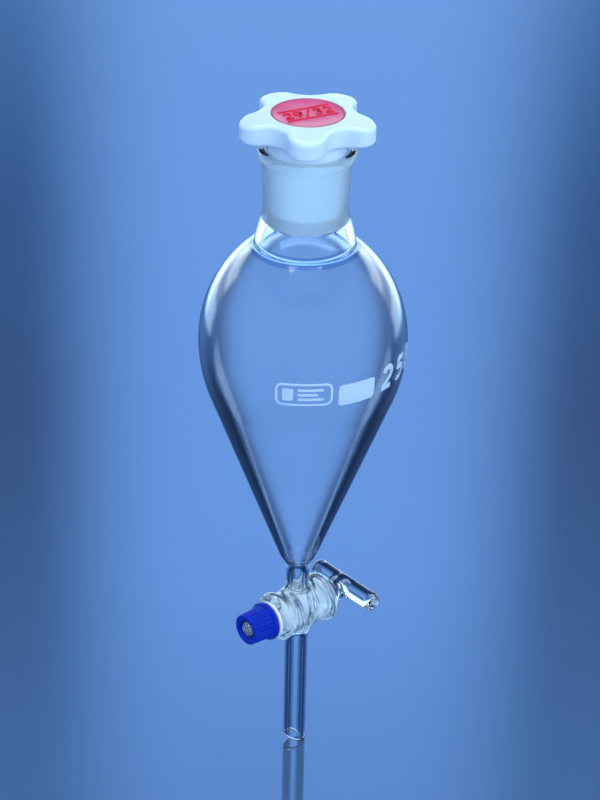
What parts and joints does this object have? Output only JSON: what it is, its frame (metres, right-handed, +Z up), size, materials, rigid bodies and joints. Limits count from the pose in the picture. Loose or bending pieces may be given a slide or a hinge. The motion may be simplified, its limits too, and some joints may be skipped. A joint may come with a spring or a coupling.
{
  "type": "separatory funnel",
  "caption": "Pear-shaped glass separatory funnel with a lift-out star-head stopper and a turning glass-key stopcock held by a screw-on retaining nut.",
  "frame": {"origin": "lowest point of the drip stem's end, on the funnel's axis", "axes": "+Z up along the funnel's axis, +X along the stopcock's key towards its T-handle, the retaining nut at -X"},
  "size_m": [0.081, 0.081, 0.285],
  "materials": {
    "clear_glass": "clear, fire-polished",
    "ground_glass": "ground taper, clear ends",
    "milky_polyethylene": "translucent, natural polyethylene",
    "red_insert": "smooth moulded",
    "white_ptfe": "smooth",
    "seal_rubber": "smooth",
    "blue_nut": "moulded, ribbed grip"
  },
  "bodies": {
    "glass": {"neck_socket": "clear_glass", "bowl": "clear_glass", "stopcock_barrel": "clear_glass", "drip_stem": "clear_glass"},
    "stopper": {"stopper_body": "milky_polyethylene", "stopper_disc": "red_insert"},
    "key": {"key_plug": "ground_glass", "key_handle": "clear_glass"},
    "washers": {"thrust_washer": "white_ptfe", "seal_ring": "seal_rubber"},
    "nut": {"retaining_nut": "blue_nut"}
  },
  "joints": [
    {"name": "stopper_lift", "type": "slide", "parent": "glass", "child": "stopper", "axis": [0, 0, 1], "range_m": [0, 0.05]},
    {"name": "key_turn", "type": "hinge", "parent": "glass", "child": "key", "pos_m": [0, 0, 0.066], "axis": [1, 0, 0], "continuous": true},
    {"name": "washer_slide", "type": "slide", "parent": "key", "child": "washers", "axis": [-1, 0, 0], "range_m": [0, 0.008]},
    {"name": "nut_turn", "type": "hinge", "parent": "washers", "child": "nut", "pos_m": [0, 0, 0.066], "axis": [-1, 0, 0], "range_deg": [0, 1445]}
  ],
  "couplings": [
    {"joint": "nut_turn", "follows": "washer_slide", "rad_per_m": 3141.6}
  ]
}
